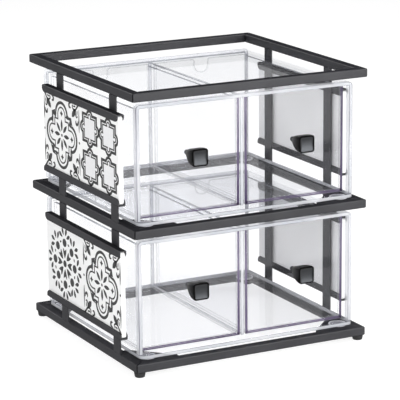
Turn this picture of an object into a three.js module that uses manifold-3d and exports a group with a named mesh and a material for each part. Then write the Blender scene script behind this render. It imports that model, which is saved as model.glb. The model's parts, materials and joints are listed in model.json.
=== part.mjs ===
// Two-tier countertop display case for bread: a black steel stand, a clear case on each tier, two clear
// drawers in each case, and a tile panel in a holder on each side of each tier.
// Millimetres, +Z up, front towards -Y, origin at the middle of the footprint on the counter.

import * as THREE from 'three';
import { mergeVertices } from 'three/addons/utils/BufferGeometryUtils.js';
import Module from 'manifold-3d';

const wasm = await Module();
wasm.setup();

// Stand
const frameWidth = 360;
const frameDepth = 340;
const tierPitch = 186;
const tubeHeight = 12;
const tubeWidth = 14;
const tubeEdgeRadius = 1.4;
const footHeight = 7;
const footDiameter = 16;
const footTaper = 1;
const footEdgeChamfer = 0.8;
const footInset = 8;
const cornerPlateLeg = 56;
const cornerPlateTipCut = 5;
const cornerPlateThickness = 3;

// Uprights, each set in from one end of the holder that they carry
const uprightWidth = 20;
const uprightThickness = 2.5;
const uprightEndInset = 36.5;

// Panel holders and tile panels. A holder has a long gap at one end, between ring and channel, and a short
// one at the other.
const holderOffset = 21;
const holderLongGap = 29.5;
const holderShortGap = 19.5;
const channelSheet = 2;
const channelLipHeight = 10;
const channelLipRadius = 7;
const panelLength = 245;
const panelThickness = 6.5;
const panelSlip = 0.25;
const panelCornerRadius = 4;
const panelEdgeRadius = 0.6;

// Clear cases
const caseInset = 13;
const caseRearInset = 21;
const caseSheet = 5;
const shellSetback = 5;
const caseBendRadius = 6;
const caseTopGap = 8;
const caseFloorRadius = 8;
const bumperThickness = 2;
const bumperDiameter = 26;
const bumperInset = 2.6;
const bumperEdgeRadius = 0.8;

// Drawers
const drawerSheet = 4;
const drawerSideClearance = 1.5;
const drawerRearClearance = 3;
const drawerRecess = 20;
const runnerClearance = 0.3;
const drawerHeadroom = 1.5;
const drawerFrontRadius = 1.5;
const notchWidth = 22;
const notchDepth = 20;
const notchLipRadius = 3;

// Knobs
const knobFaceSize = 24;
const knobCornerRadius = 4;
const knobReach = 36;
const knobNeckSize = 8;
const knobNeckCornerRadius = 3;
const knobEdgeRadius = 1.2;
const knobHeight = 90.3;
const screwDiameter = 4;
const screwClearance = 0.25;
const screwDepth = 11;

// Facets and the overrun of cutting bodies past the faces that they cut
const cutOverrun = 1;
const roundFacets = 32;
const edgeFacets = 2;
const cornerFacets = 6;
const knobFlareSteps = 8;

// Sizes that follow
const halfWidth = frameWidth / 2;
const halfDepth = frameDepth / 2;
const caseHalfWidth = halfWidth - caseInset;
const caseFrontY = caseInset - halfDepth;
const caseBackY = halfDepth - caseRearInset;
const dividerHalf = caseSheet / 2;
const drawerFrontY = caseFrontY + drawerRecess;
const drawerBackY = caseBackY - caseSheet - drawerRearClearance;
const drawerWidth = caseHalfWidth - caseSheet - dividerHalf - 2 * drawerSideClearance;
const drawerCentreX = (caseHalfWidth - caseSheet + dividerHalf) / 2;
const knobFaceY = drawerFrontY - knobReach;
const channelGap = panelThickness + 2 * panelSlip;
const originShiftY = -(Math.min(knobFaceY, -halfDepth) + halfDepth) / 2;

const rings = ['bottom', 'middle', 'top'].map((name, index) => {
  const underside = footHeight + index * tierPitch;
  return { name, underside, top: underside + tubeHeight, carriesCase: name !== 'top' };
});
const tiers = ['lower', 'upper'].map((name, index) => {
  const ringTop = rings[index].top;
  const ringAbove = rings[index + 1].underside;
  const floorUnderside = ringTop + bumperThickness;
  const floorTop = floorUnderside + caseSheet;
  const shellTop = ringAbove - caseTopGap;
  const ceiling = shellTop - caseSheet;
  return { name, ringTop, ringAbove, floorUnderside, floorTop, shellTop, ceiling };
});
// The holders on the right are the same as those on the left, turned over
const sides = [
  { name: 'left', sign: -1, bottomGap: holderLongGap, topGap: holderShortGap },
  { name: 'right', sign: 1, bottomGap: holderShortGap, topGap: holderLongGap },
];
const ends = [
  { name: 'front', sign: -1 },
  { name: 'rear', sign: 1 },
];

// Materials
const blackPaint = { color: 0x3b3b3e, roughness: 0.42, metalness: 0.1 };
const blackRubber = { color: 0x1b1b1c, roughness: 0.8, metalness: 0 };
const blackGloss = { color: 0x0d0d0f, roughness: 0.14, metalness: 0 };
const whiteTile = { color: 0xf0efec, roughness: 0.3, metalness: 0 };
const clearAcrylic = { color: 0xe8edf2, roughness: 0.06, metalness: 0, transparent: true, opacity: 0.25 };

const part = new THREE.Group();
part.position.y = originShiftY;

function add(name, geometry, look) {
  const mesh = new THREE.Mesh(geometry, new THREE.MeshStandardMaterial(look));
  mesh.name = name;
  part.add(mesh);
}

// Helpers for solids

function positionsOnly(geometry) {
  const bare = geometry.clone();
  bare.deleteAttribute('normal');
  bare.deleteAttribute('uv');
  return mergeVertices(bare);
}

function toSolid(geometry) {
  const merged = positionsOnly(geometry);
  const vertProperties = new Float32Array(merged.attributes.position.array);
  const triVerts = new Uint32Array(merged.index.array);
  return new wasm.Manifold(new wasm.Mesh({ numProp: 3, vertProperties, triVerts }));
}

function toGeometry(solid) {
  const { vertProperties, triVerts } = solid.getMesh();
  const geometry = new THREE.BufferGeometry();
  geometry.setAttribute('position', new THREE.BufferAttribute(vertProperties, 3));
  geometry.setIndex(new THREE.BufferAttribute(triVerts, 1));
  geometry.computeVertexNormals();
  return geometry;
}

function joined(geometries) {
  return toGeometry(geometries.map(toSolid).reduce((all, one) => all.add(one)));
}

function box(x0, x1, y0, y1, z0, z1) {
  const geometry = new THREE.BoxGeometry(x1 - x0, y1 - y0, z1 - z0);
  geometry.translate((x0 + x1) / 2, (y0 + y1) / 2, (z0 + z1) / 2);
  return geometry;
}

// Rectangle outline with one radius for all corners
function roundedRectangle(x0, x1, y0, y1, radius) {
  const r = Math.min(radius, (x1 - x0) / 2, (y1 - y0) / 2);
  const shape = new THREE.Shape();
  shape.moveTo(x0 + r, y0);
  shape.lineTo(x1 - r, y0);
  shape.absarc(x1 - r, y0 + r, r, -Math.PI / 2, 0);
  shape.lineTo(x1, y1 - r);
  shape.absarc(x1 - r, y1 - r, r, 0, Math.PI / 2);
  shape.lineTo(x0 + r, y1);
  shape.absarc(x0 + r, y1 - r, r, Math.PI / 2, Math.PI);
  shape.lineTo(x0, y0 + r);
  shape.absarc(x0 + r, y0 + r, r, Math.PI, Math.PI * 1.5);
  return shape;
}

// Plate in the XY plane from z0 to z1, with its edges rounded when a radius is given
function plate(shape, z0, z1, edgeRadius = 0, curveSegments = cornerFacets) {
  const geometry = new THREE.ExtrudeGeometry(shape, {
    depth: z1 - z0 - 2 * edgeRadius,
    bevelEnabled: edgeRadius > 0,
    bevelThickness: edgeRadius,
    bevelSize: edgeRadius,
    bevelOffset: -edgeRadius,
    bevelSegments: edgeFacets,
    curveSegments,
  });
  geometry.translate(0, 0, z0 + edgeRadius);
  return geometry;
}

// Outline drawn with X and Z, extruded along Y from y0 to y1
function uprightPlate(shape, y0, y1, edgeRadius = 0, curveSegments = cornerFacets) {
  const geometry = plate(shape, -y1, -y0, edgeRadius, curveSegments);
  geometry.rotateX(Math.PI / 2);
  return geometry;
}

// Outline drawn with Y and Z, extruded along X from x0 to x1
function sidePlate(shape, x0, x1, edgeRadius = 0, curveSegments = cornerFacets) {
  const geometry = plate(shape, x0, x1, edgeRadius, curveSegments);
  geometry.rotateZ(Math.PI / 2);
  geometry.rotateY(Math.PI / 2);
  return geometry;
}

// Stand

function tubeFrame(underside, top) {
  const shape = new THREE.Shape();
  shape.moveTo(-halfWidth, -halfDepth);
  shape.lineTo(halfWidth, -halfDepth);
  shape.lineTo(halfWidth, halfDepth);
  shape.lineTo(-halfWidth, halfDepth);
  const window = new THREE.Path();
  window.moveTo(tubeWidth - halfWidth, tubeWidth - halfDepth);
  window.lineTo(tubeWidth - halfWidth, halfDepth - tubeWidth);
  window.lineTo(halfWidth - tubeWidth, halfDepth - tubeWidth);
  window.lineTo(halfWidth - tubeWidth, tubeWidth - halfDepth);
  shape.holes.push(window);
  return plate(shape, underside, top, tubeEdgeRadius);
}

// Triangular gusset welded into an inner corner of a ring, flush with its top, its two tips cut square
function cornerPlate(side, end, ringTop) {
  const cornerX = halfWidth - tubeWidth;
  const cornerY = halfDepth - tubeWidth;
  const root = -tubeWidth / 2;
  const outline = [
    [root, root],
    [cornerPlateLeg, root],
    [cornerPlateLeg, cornerPlateTipCut],
    [cornerPlateTipCut, cornerPlateLeg],
    [root, cornerPlateLeg],
  ];
  const points = outline.map(([u, v]) => (
    new THREE.Vector2(side.sign * (cornerX - u), end.sign * (cornerY - v))
  ));
  return plate(new THREE.Shape(points), ringTop - cornerPlateThickness, ringTop);
}

// The rings that carry a case have their four corner plates welded in
function ring({ underside, top, carriesCase }) {
  const frame = tubeFrame(underside, top);
  if (!carriesCase) {
    return frame;
  }
  const plates = sides.flatMap((side) => ends.map((end) => cornerPlate(side, end, top)));
  return joined([frame, ...plates]);
}

function foot() {
  const r = footDiameter / 2;
  const profile = [
    new THREE.Vector2(0, 0),
    new THREE.Vector2(r - footTaper - footEdgeChamfer, 0),
    new THREE.Vector2(r - footTaper, footEdgeChamfer),
    new THREE.Vector2(r, footHeight),
    new THREE.Vector2(0, footHeight),
  ];
  const geometry = new THREE.LatheGeometry(profile, roundFacets);
  geometry.rotateX(Math.PI / 2);
  return geometry;
}

function placedFoot(side, end) {
  const geometry = foot();
  geometry.translate(side.sign * (halfWidth - footInset), end.sign * (halfDepth - footInset), 0);
  return geometry;
}

function upright(side, end, tier) {
  const outerX = side.sign * halfWidth;
  const innerX = side.sign * (halfWidth - uprightThickness);
  const y = side.sign * holderOffset + end.sign * (panelLength / 2 - uprightEndInset);
  return box(
    Math.min(outerX, innerX),
    Math.max(outerX, innerX),
    y - uprightWidth / 2,
    y + uprightWidth / 2,
    tier.ringTop,
    tier.ringAbove,
  );
}

// Panel holders

// Side view of a channel with its web at the bottom: the lips' upper corners are round
function channelSideView(middleY) {
  const y0 = middleY - panelLength / 2;
  const y1 = middleY + panelLength / 2;
  const r = Math.min(channelLipRadius, channelLipHeight - channelSheet);
  const shape = new THREE.Shape();
  shape.moveTo(y0, 0);
  shape.lineTo(y1, 0);
  shape.lineTo(y1, channelLipHeight - r);
  shape.absarc(y1 - r, channelLipHeight - r, r, 0, Math.PI / 2);
  shape.lineTo(y0 + r, channelLipHeight);
  shape.absarc(y0 + r, channelLipHeight - r, r, Math.PI / 2, Math.PI);
  return shape;
}

// Channel with its web at z = 0, outside the uprights of one side of the stand
function channel(side) {
  const middleY = side.sign * holderOffset;
  const innerX = halfWidth;
  const outerX = halfWidth + channelGap + 2 * channelSheet;
  const x0 = side.sign > 0 ? innerX : -outerX;
  const x1 = side.sign > 0 ? outerX : -innerX;
  const body = toSolid(sidePlate(channelSideView(middleY), x0, x1));
  const slot = toSolid(box(
    x0 + channelSheet,
    x1 - channelSheet,
    middleY - panelLength / 2 - cutOverrun,
    middleY + panelLength / 2 + cutOverrun,
    channelSheet,
    channelLipHeight + cutOverrun,
  ));
  return toGeometry(body.subtract(slot));
}

function bottomChannel(side, tier) {
  const geometry = channel(side);
  geometry.translate(0, 0, tier.ringTop + side.bottomGap);
  return geometry;
}

// The top channel is the bottom one turned over about its length
function topChannel(side, tier) {
  const middleX = side.sign * (halfWidth + channelSheet + channelGap / 2);
  const geometry = channel(side);
  geometry.translate(-middleX, 0, 0);
  geometry.rotateY(Math.PI);
  geometry.translate(middleX, 0, tier.ringAbove - side.topGap);
  return geometry;
}

function tilePanel(side, tier) {
  const middleX = side.sign * (halfWidth + channelSheet + channelGap / 2);
  const middleY = side.sign * holderOffset;
  const z0 = tier.ringTop + side.bottomGap + channelSheet + panelSlip;
  const z1 = tier.ringAbove - side.topGap - channelSheet - panelSlip;
  const shape = roundedRectangle(
    middleY - panelLength / 2,
    middleY + panelLength / 2,
    z0,
    z1,
    panelCornerRadius,
  );
  return sidePlate(shape, middleX - panelThickness / 2, middleX + panelThickness / 2, panelEdgeRadius);
}

// Clear cases

// One sheet bent over both sides and the top, its walls standing on the floor sheet behind its front edge
function caseShell(tier) {
  const outer = caseHalfWidth;
  const inner = caseHalfWidth - caseSheet;
  const r = caseBendRadius;
  const innerR = Math.max(caseBendRadius - caseSheet, 0);
  const shape = new THREE.Shape();
  shape.moveTo(-outer, tier.floorTop);
  shape.lineTo(-inner, tier.floorTop);
  shape.lineTo(-inner, tier.ceiling - innerR);
  shape.absarc(innerR - inner, tier.ceiling - innerR, innerR, Math.PI, Math.PI / 2, true);
  shape.lineTo(inner - innerR, tier.ceiling);
  shape.absarc(inner - innerR, tier.ceiling - innerR, innerR, Math.PI / 2, 0, true);
  shape.lineTo(inner, tier.floorTop);
  shape.lineTo(outer, tier.floorTop);
  shape.lineTo(outer, tier.shellTop - r);
  shape.absarc(outer - r, tier.shellTop - r, r, 0, Math.PI / 2);
  shape.lineTo(r - outer, tier.shellTop);
  shape.absarc(r - outer, tier.shellTop - r, r, Math.PI / 2, Math.PI);
  return uprightPlate(shape, caseFrontY + shellSetback, caseBackY);
}

// Disc bonded under the floor, which stands on a corner plate
function bumper(side, end, tier) {
  const r = bumperDiameter / 2;
  const inset = r + bumperInset;
  const bonded = bumperThickness + caseSheet / 2;
  const profile = [
    new THREE.Vector2(0, 0),
    new THREE.Vector2(r - bumperEdgeRadius, 0),
    new THREE.Vector2(r, bumperEdgeRadius),
    new THREE.Vector2(r, bonded),
    new THREE.Vector2(0, bonded),
  ];
  const geometry = new THREE.LatheGeometry(profile, roundFacets);
  geometry.rotateX(Math.PI / 2);
  geometry.translate(
    side.sign * (caseHalfWidth - inset),
    end.sign < 0 ? caseFrontY + inset : caseBackY - inset,
    tier.ringTop,
  );
  return geometry;
}

// Floor sheet with round corners and its four bumpers
function caseFloor(tier) {
  const outline = roundedRectangle(-caseHalfWidth, caseHalfWidth, caseFrontY, caseBackY, caseFloorRadius);
  const sheet = plate(outline, tier.floorUnderside, tier.floorTop);
  const bumpers = sides.flatMap((side) => ends.map((end) => bumper(side, end, tier)));
  return joined([sheet, ...bumpers]);
}

// Square sheet between the walls, with its upper corners rounded into the bends
function caseBack(tier) {
  const inner = caseHalfWidth - caseSheet;
  const r = Math.max(caseBendRadius - caseSheet, 0);
  const shape = new THREE.Shape();
  shape.moveTo(-inner, tier.floorTop);
  shape.lineTo(inner, tier.floorTop);
  shape.lineTo(inner, tier.ceiling - r);
  shape.absarc(inner - r, tier.ceiling - r, r, 0, Math.PI / 2);
  shape.lineTo(r - inner, tier.ceiling);
  shape.absarc(r - inner, tier.ceiling - r, r, Math.PI / 2, Math.PI);
  return uprightPlate(shape, caseBackY - caseSheet, caseBackY);
}

// The divider ends in front where the drawers end
function caseDivider(tier) {
  return box(
    -dividerHalf,
    dividerHalf,
    drawerFrontY,
    caseBackY - caseSheet,
    tier.floorTop,
    tier.ceiling,
  );
}

// Drawers: one set of places for each compartment
function drawerPlaces(side, tier) {
  const middleX = side.sign * drawerCentreX;
  const x0 = middleX - drawerWidth / 2;
  const x1 = middleX + drawerWidth / 2;
  const bottom = tier.floorTop + runnerClearance;
  return {
    middleX,
    x0,
    x1,
    bottom,
    frontY: drawerFrontY,
    wallsFrontY: drawerFrontY + drawerSheet,
    wallsBackY: drawerBackY - drawerSheet,
    backY: drawerBackY,
    top: tier.ceiling - drawerHeadroom,
    knobZ: tier.ringTop + knobHeight,
  };
}

// Front sheet, with the clearance hole for the knob's screw
function drawerFront(d) {
  const shape = roundedRectangle(d.x0, d.x1, d.bottom, d.top, drawerFrontRadius);
  const hole = new THREE.Path();
  hole.absarc(d.middleX, d.knobZ, screwDiameter / 2 + screwClearance, 0, Math.PI * 2);
  shape.holes.push(hole);
  return uprightPlate(shape, d.frontY, d.wallsFrontY);
}

// Back sheet, with a U-shaped finger notch whose lips are rounded over
function drawerBack(d) {
  const r = notchWidth / 2;
  const lip = Math.min(notchLipRadius, notchDepth - r);
  const bowlZ = d.top - notchDepth + r;
  const shape = new THREE.Shape();
  shape.moveTo(d.x0, d.bottom);
  shape.lineTo(d.x1, d.bottom);
  shape.lineTo(d.x1, d.top);
  shape.lineTo(d.middleX + r + lip, d.top);
  shape.absarc(d.middleX + r + lip, d.top - lip, lip, Math.PI / 2, Math.PI);
  shape.lineTo(d.middleX + r, bowlZ);
  shape.absarc(d.middleX, bowlZ, r, 0, -Math.PI, true);
  shape.lineTo(d.middleX - r, d.top - lip);
  shape.absarc(d.middleX - r - lip, d.top - lip, lip, 0, Math.PI / 2);
  shape.lineTo(d.x0, d.top);
  return uprightPlate(shape, d.wallsBackY, d.backY);
}

function drawerLeftSide(d) {
  return box(d.x0, d.x0 + drawerSheet, d.wallsFrontY, d.wallsBackY, d.bottom, d.top);
}

function drawerRightSide(d) {
  return box(d.x1 - drawerSheet, d.x1, d.wallsFrontY, d.wallsBackY, d.bottom, d.top);
}

// The floor lies between the sides, and the drawer slides on it
function drawerFloor(d) {
  return box(
    d.x0 + drawerSheet,
    d.x1 - drawerSheet,
    d.wallsFrontY,
    d.wallsBackY,
    d.bottom,
    d.bottom + drawerSheet,
  );
}

// Knobs

// Points round a square of the given half-size with round corners, each corner an arc
function roundedSquarePoints(half, corner) {
  const flat = half - corner;
  const points = [];
  for (let quarter = 0; quarter < 4; quarter += 1) {
    const start = quarter * Math.PI / 2;
    const cx = flat * Math.sign(Math.cos(start + Math.PI / 4));
    const cz = flat * Math.sign(Math.sin(start + Math.PI / 4));
    for (let i = 0; i <= cornerFacets; i += 1) {
      const angle = start + (i / cornerFacets) * Math.PI / 2;
      points.push([cx + corner * Math.cos(angle), cz + corner * Math.sin(angle)]);
    }
  }
  return points;
}

// Sections of the knob from the drawer outwards: distance from the drawer, half-size, corner radius.
// Its sides swell from the thin neck to the face, steeply at first.
function knobSections() {
  const neckHalf = knobNeckSize / 2;
  const faceHalf = knobFaceSize / 2;
  const edgeStart = knobReach - knobEdgeRadius;
  const sections = [];
  for (let i = 0; i < knobFlareSteps; i += 1) {
    const t = i / knobFlareSteps;
    const flare = Math.sin(t * Math.PI / 2);
    sections.push({
      out: edgeStart * t,
      half: neckHalf + (faceHalf - neckHalf) * flare,
      corner: knobNeckCornerRadius + (knobCornerRadius - knobNeckCornerRadius) * flare,
    });
  }
  for (let i = 0; i <= edgeFacets; i += 1) {
    const angle = (i / edgeFacets) * Math.PI / 2;
    const drawnIn = knobEdgeRadius * (1 - Math.cos(angle));
    sections.push({
      out: knobReach - knobEdgeRadius * (1 - Math.sin(angle)),
      half: faceHalf - drawnIn,
      corner: knobCornerRadius - drawnIn,
    });
  }
  return sections;
}

// Skin through the sections, closed with a fan at each end
function loftKnob() {
  const sections = knobSections();
  const rows = sections.map(({ out, half, corner }) => (
    roundedSquarePoints(half, corner).map(([x, z]) => [x, -out, z])
  ));
  const around = rows[0].length;
  const lastRow = (rows.length - 1) * around;
  const backCentre = rows.length * around;
  const faceCentre = backCentre + 1;
  const positions = [...rows.flat(2), 0, 0, 0, 0, -knobReach, 0];
  const triangles = [];
  for (let k = 0; k < around; k += 1) {
    const next = (k + 1) % around;
    for (let row = 0; row < lastRow; row += around) {
      const outer = row + around;
      triangles.push(row + k, row + next, outer + next);
      triangles.push(row + k, outer + next, outer + k);
    }
    triangles.push(backCentre, next, k);
    triangles.push(faceCentre, lastRow + k, lastRow + next);
  }
  const geometry = new THREE.BufferGeometry();
  geometry.setAttribute('position', new THREE.Float32BufferAttribute(positions, 3));
  geometry.setIndex(triangles);
  return geometry;
}

// The knob has a blind hole for its screw, open towards the drawer
function knob() {
  const hole = new THREE.CylinderGeometry(
    screwDiameter / 2,
    screwDiameter / 2,
    screwDepth + cutOverrun,
    roundFacets / 2,
  );
  hole.translate(0, (cutOverrun - screwDepth) / 2, 0);
  return toGeometry(toSolid(loftKnob()).subtract(toSolid(hole)));
}

function placedKnob(geometry, d) {
  const copy = geometry.clone();
  copy.translate(d.middleX, d.frontY, d.knobZ);
  return copy;
}

// Assembly

for (const r of rings) {
  add(`${r.name}_ring`, ring(r), blackPaint);
}
for (const side of sides) {
  for (const end of ends) {
    add(`${end.name}_${side.name}_foot`, placedFoot(side, end), blackRubber);
  }
}

const knobShape = knob();
for (const tier of tiers) {
  add(`${tier.name}_case_floor`, caseFloor(tier), clearAcrylic);
  add(`${tier.name}_case_shell`, caseShell(tier), clearAcrylic);
  add(`${tier.name}_case_back`, caseBack(tier), clearAcrylic);
  add(`${tier.name}_case_divider`, caseDivider(tier), clearAcrylic);
  for (const side of sides) {
    const place = `${tier.name}_${side.name}`;
    for (const end of ends) {
      add(`${place}_${end.name}_upright`, upright(side, end, tier), blackPaint);
    }
    add(`${place}_bottom_channel`, bottomChannel(side, tier), blackPaint);
    add(`${place}_top_channel`, topChannel(side, tier), blackPaint);
    add(`${place}_tile_panel`, tilePanel(side, tier), whiteTile);

    const d = drawerPlaces(side, tier);
    add(`${place}_drawer_front`, drawerFront(d), clearAcrylic);
    add(`${place}_drawer_back`, drawerBack(d), clearAcrylic);
    add(`${place}_drawer_floor`, drawerFloor(d), clearAcrylic);
    add(`${place}_drawer_left_side`, drawerLeftSide(d), clearAcrylic);
    add(`${place}_drawer_right_side`, drawerRightSide(d), clearAcrylic);
    add(`${place}_knob`, placedKnob(knobShape, d), blackGloss);
  }
}

export default part;
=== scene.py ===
"""Looks of a two-tier countertop display case for bread: a powder-coated steel stand, clear
acrylic cases and drawers, black knobs, and printed tile panels in their holders.

Metres, +Z up, front towards -Y.
"""
import json
import math

import bmesh
import bpy
from mathutils import Matrix, Vector
from mathutils.geometry import tessellate_polygon


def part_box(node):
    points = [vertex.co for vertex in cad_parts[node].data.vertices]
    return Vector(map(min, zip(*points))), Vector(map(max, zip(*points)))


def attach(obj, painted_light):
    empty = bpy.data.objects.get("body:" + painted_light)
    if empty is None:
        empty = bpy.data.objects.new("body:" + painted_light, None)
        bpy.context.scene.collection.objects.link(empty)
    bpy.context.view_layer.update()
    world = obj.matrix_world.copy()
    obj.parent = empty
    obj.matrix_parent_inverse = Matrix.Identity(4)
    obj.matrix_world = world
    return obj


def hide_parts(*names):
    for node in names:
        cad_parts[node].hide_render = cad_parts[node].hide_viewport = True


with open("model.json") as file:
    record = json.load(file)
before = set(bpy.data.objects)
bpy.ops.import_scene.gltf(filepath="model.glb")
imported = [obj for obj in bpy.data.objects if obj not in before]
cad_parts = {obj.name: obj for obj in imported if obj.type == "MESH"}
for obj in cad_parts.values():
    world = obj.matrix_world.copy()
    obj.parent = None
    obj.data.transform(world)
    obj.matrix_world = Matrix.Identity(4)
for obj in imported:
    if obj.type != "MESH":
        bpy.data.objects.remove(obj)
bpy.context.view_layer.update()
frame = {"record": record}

MM = 0.001

BODY_OF = {
    node: painted_light
    for painted_light, members in frame["record"]["behaviour"]["bodies"].items()
    for node in members
}
TIERS = ("upper", "lower")
SIDES = ("left", "right")
ENDS = ("front", "rear")
SIGN = {"left": -1, "right": 1}


# Outlines: lists of points, counter-clockwise, in the two axes of a plane

# Limit on how far an offset runs out at a sharp corner, as the cosine of half the turn there
SHARPEST_CORNER = 0.35


def arc(cx, cy, radius, start, end, steps):
    """Points on an arc, both ends included. Angles are in degrees."""
    points = []
    for i in range(steps + 1):
        angle = math.radians(start + (end - start) * i / steps)
        points.append((cx + radius * math.cos(angle), cy + radius * math.sin(angle)))
    return points


def circle(cx, cy, radius, steps):
    return arc(cx, cy, radius, 0, 360, steps)[:-1]


def box(x0, x1, y0, y1):
    return [(x0, y0), (x1, y0), (x1, y1), (x0, y1)]


def rounded_box(x0, x1, y0, y1, radius, steps):
    """Box with round corners."""
    r = radius
    return (
        arc(x1 - r, y0 + r, r, -90, 0, steps)
        + arc(x1 - r, y1 - r, r, 0, 90, steps)
        + arc(x0 + r, y1 - r, r, 90, 180, steps)
        + arc(x0 + r, y0 + r, r, 180, 270, steps)
    )


def offset(loop, distance):
    """The closed loop moved to its left, which is inwards on a counter-clockwise loop."""
    shifted = []
    for i, (x, y) in enumerate(loop):
        before = Vector((x, y)) - Vector(loop[i - 1])
        after = Vector(loop[(i + 1) % len(loop)]) - Vector((x, y))
        n1 = Vector((-before.y, before.x)).normalized()
        n2 = Vector((-after.y, after.x)).normalized()
        mid = (n1 + n2).normalized()
        reach = distance / max(mid.dot(n1), SHARPEST_CORNER)
        shifted.append((x + mid.x * reach, y + mid.y * reach))
    return shifted


def turned(points, degrees):
    c, s = math.cos(math.radians(degrees)), math.sin(math.radians(degrees))
    return [(x * c - y * s, x * s + y * c) for x, y in points]


def four_times(points):
    """The points, and the same turned by 90, 180 and 270 degrees."""
    return [point for i in range(4) for point in turned(points, 90 * i)]


# Parts of a mesh

class Part:
    """Vertices, faces and a material index for each face."""

    def __init__(self):
        self.verts = []
        self.faces = []
        self.mats = []

    def add_loop(self, points):
        start = len(self.verts)
        self.verts.extend(points)
        return list(range(start, start + len(points)))

    def face(self, corners, mat=0):
        self.faces.append(tuple(corners))
        self.mats.append(mat)

    def bridge(self, lower, upper, mat=0):
        for i in range(len(lower)):
            j = (i + 1) % len(lower)
            self.face((lower[i], lower[j], upper[j], upper[i]), mat)

    def close(self, loops, flip, mat=0):
        """Fills an outline, less the holes in it."""
        if len(loops) == 1:
            self.face(loops[0][::-1] if flip else loops[0], mat)
            return
        corners = [index for loop in loops for index in loop]
        points = [[Vector(self.verts[index]) for index in loop] for loop in loops]
        for triangle in tessellate_polygon(points):
            self.face([corners[i] for i in triangle], mat)

    def change(self, old, new, chosen):
        """Puts a new material in place of an old one on faces all of whose points are chosen."""
        for i, face in enumerate(self.faces):
            if self.mats[i] == old and all(chosen(*self.verts[v]) for v in face):
                self.mats[i] = new

    def placed(self, move):
        """The same part with every point passed through move."""
        out = Part()
        out.verts = [tuple(move(*v)) for v in self.verts]
        out.faces = list(self.faces)
        out.mats = list(self.mats)
        return out


def loft(loops):
    """Skin through loops of equal length, with a face at each end."""
    part = Part()
    rows = [part.add_loop(loop) for loop in loops]
    for lower, upper in zip(rows, rows[1:]):
        part.bridge(lower, upper)
    part.face(rows[0][::-1])
    part.face(rows[-1])
    return part


# The band round a hole is only this wide
HOLE_BAND = 0.05 * MM


def slab(outline, low, high, edge=0.0, holes=(), cap_mat=0, side_mat=0, edge_mat=0, steps=3,
         band=0.0, band_mat=0, strip=0.0, strip_mat=0):
    """Plate on an outline between two heights, its rims rounded by edge. Holes are clockwise loops.

    A band goes round the low face, and a strip round the walls beside it, in materials of their own.
    """
    # Each level is a height and how far the outline is drawn in there
    rim = [(low, edge)]
    if edge > 0:
        for i in range(1, steps + 1):
            angle = math.pi / 2 * i / steps
            rim.append((low + edge * (1 - math.cos(angle)), edge * (1 - math.sin(angle))))
    far_rim = [(high - (z - low), inset) for z, inset in rim[::-1]]
    levels = rim + far_rim
    rim_mats = [edge_mat] * (len(rim) - 1)
    mats = rim_mats + [side_mat] + rim_mats
    if strip > 0:
        levels.insert(len(rim), (low + strip, 0.0))
        mats.insert(len(rim) - 1, strip_mat)
    if band > 0:
        levels.insert(0, (low, edge + band))
        mats.insert(0, band_mat)
    part = Part()
    first, last = [], []
    for loop in (outline, *holes):
        rows = []
        for i, (z, inset) in enumerate(levels):
            if band > 0 and i == 0 and loop is not outline:
                inset = edge + HOLE_BAND
            shape = offset(loop, inset) if inset > 0 else loop
            rows.append(part.add_loop([(x, y, z) for x, y in shape]))
        for lower, upper, mat in zip(rows, rows[1:], mats):
            part.bridge(lower, upper, mat)
        first.append(rows[0])
        last.append(rows[-1])
    part.close(first, True, cap_mat)
    part.close(last, False, cap_mat)
    return part


def lathe(profile, steps=48):
    """Solid of revolution about Z. Its profile, of (radius, height), begins and ends on the axis."""
    part = Part()
    rows = []
    for radius, z in profile:
        points = circle(0, 0, radius, steps) if radius > 0 else [(0.0, 0.0)]
        rows.append(part.add_loop([(x, y, z) for x, y in points]))
    for lower, upper in zip(rows, rows[1:]):
        if len(lower) == 1:
            for i in range(steps):
                part.face((lower[0], upper[(i + 1) % steps], upper[i]))
        elif len(upper) == 1:
            for i in range(steps):
                part.face((lower[i], lower[(i + 1) % steps], upper[0]))
        else:
            part.bridge(lower, upper)
    return part


# Where a part drawn on a plane goes: its third axis is the one named

def along_x(u, v, w):
    return (w, u, v)


def along_y(u, v, w):
    return (u, w, v)


def moved(dx, dy, dz):
    return lambda x, y, z: (x + dx, y + dy, z + dz)


# Objects

# Two faces that meet at more than this angle have a sharp edge between them
SHARP_DEGREES = 50
# How strongly the normals of large faces prevail over those of small ones, from 1 to 100
LARGE_FACE_WEIGHT = 100


def face_outwards(mesh):
    """Turns the faces of each closed part so that they point out."""
    work = bmesh.new()
    work.from_mesh(mesh)
    bmesh.ops.recalc_face_normals(work, faces=work.faces)
    work.to_mesh(mesh)
    work.free()


def linked(name, data):
    obj = bpy.data.objects.new(name, data)
    bpy.context.scene.collection.objects.link(obj)
    return obj


def piece(name, parts, materials, node, main=True, smooth=True):
    """One object from parts, which rides with a CAD node and, as its main piece, replaces it."""
    mesh = bpy.data.meshes.new(name)
    verts, faces, mats = [], [], []
    for part in parts:
        start = len(verts)
        verts.extend(part.verts)
        faces.extend(tuple(start + i for i in face) for face in part.faces)
        mats.extend(part.mats)
    mesh.from_pydata([Vector(v) for v in verts], [], faces)
    for material in materials:
        mesh.materials.append(material)
    mesh.polygons.foreach_set("material_index", mats)
    mesh.update()
    face_outwards(mesh)
    obj = linked(name, mesh)
    if smooth:
        mesh.polygons.foreach_set("use_smooth", [True] * len(mesh.polygons))
        mesh.set_sharp_from_angle(angle=math.radians(SHARP_DEGREES))
        weighted = obj.modifiers.new("weighted_normals", "WEIGHTED_NORMAL")
        weighted.keep_sharp = True
        weighted.weight = LARGE_FACE_WEIGHT
    painted_light = BODY_OF[node]
    replaces = [node] if main else []
    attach(obj, painted_light)
    if replaces:
        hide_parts(*replaces)


# Materials

# Noise runs from 0 to 1, but nearly all of it lies between these
NOISE_LOW, NOISE_HIGH = 0.3, 0.7
# Blend of a Layer Weight at which Facing is 1 less the cosine of the angle
PLAIN_FACING = 0.5


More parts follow.
